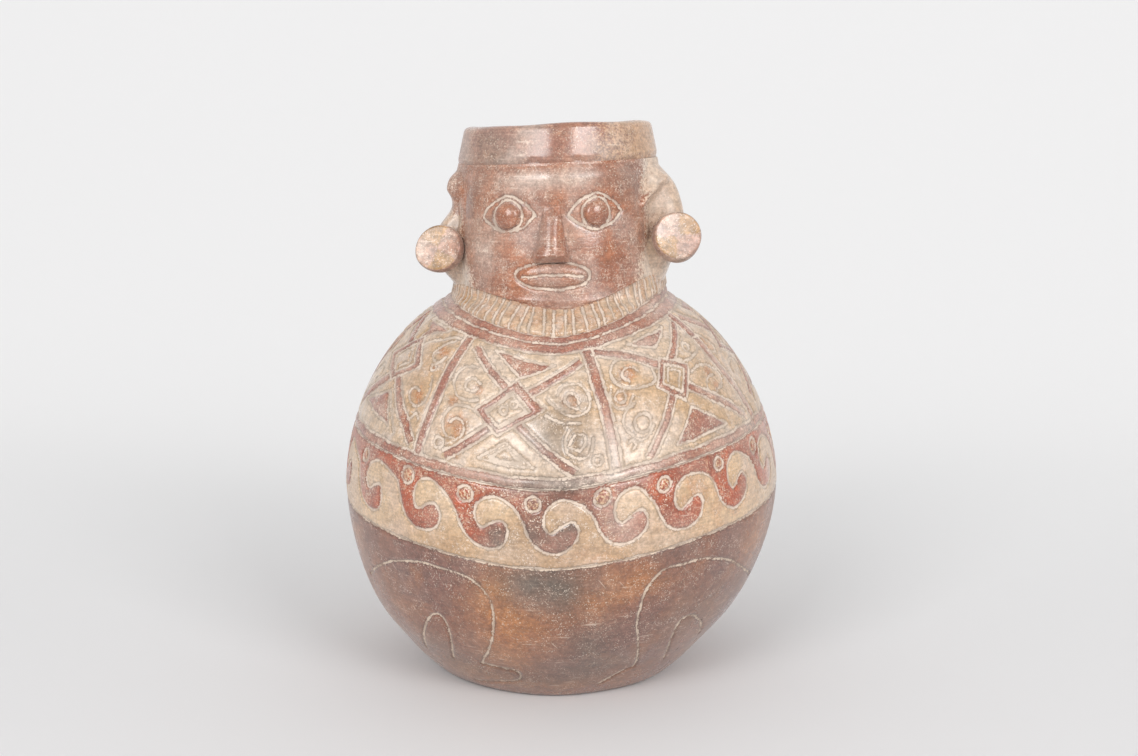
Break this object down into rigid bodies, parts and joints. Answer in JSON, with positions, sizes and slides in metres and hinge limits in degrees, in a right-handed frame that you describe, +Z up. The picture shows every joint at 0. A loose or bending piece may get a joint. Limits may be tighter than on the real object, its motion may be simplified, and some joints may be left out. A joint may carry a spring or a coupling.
{
  "type": "effigy vessel",
  "caption": "Globular burnished clay jar whose neck is a modelled head with headband, ear spools and ribbed collar, with incised red and buff slip bands.",
  "frame": {"origin": "centre of the flat base, on the surface the jar stands on", "axes": "+Z up through the mouth, -Y the way the face looks, +X to the right of a person facing the jar"},
  "size_m": [0.1928, 0.1928, 0.2408],
  "materials": {
    "brown_slip": "burnished brown slip with fire clouds",
    "red_slip": "burnished red slip, worn",
    "buff_slip": "burnished buff slip, worn",
    "spool_slip": "worn pinkish slip with ochre wedges",
    "bare_clay": "unslipped matt fired clay"
  },
  "bodies": {
    "root": {"base_disc": "bare_clay", "base_seam_coil": "bare_clay", "lower_bowl": "brown_slip", "belly_seam_coil": "bare_clay", "belly_ring": "red_slip", "shoulder_dome": "buff_slip", "neck_seam_coil": "bare_clay", "collar_strip": "buff_slip", "neck_tube": "buff_slip", "headband": "red_slip", "face_mask": "red_slip", "nose": "red_slip", "lips": "red_slip", "left_eye": "red_slip", "right_eye": "red_slip", "left_ear": "buff_slip", "right_ear": "buff_slip", "left_ear_spool": "spool_slip", "right_ear_spool": "spool_slip"}
  },
  "joints": []
}
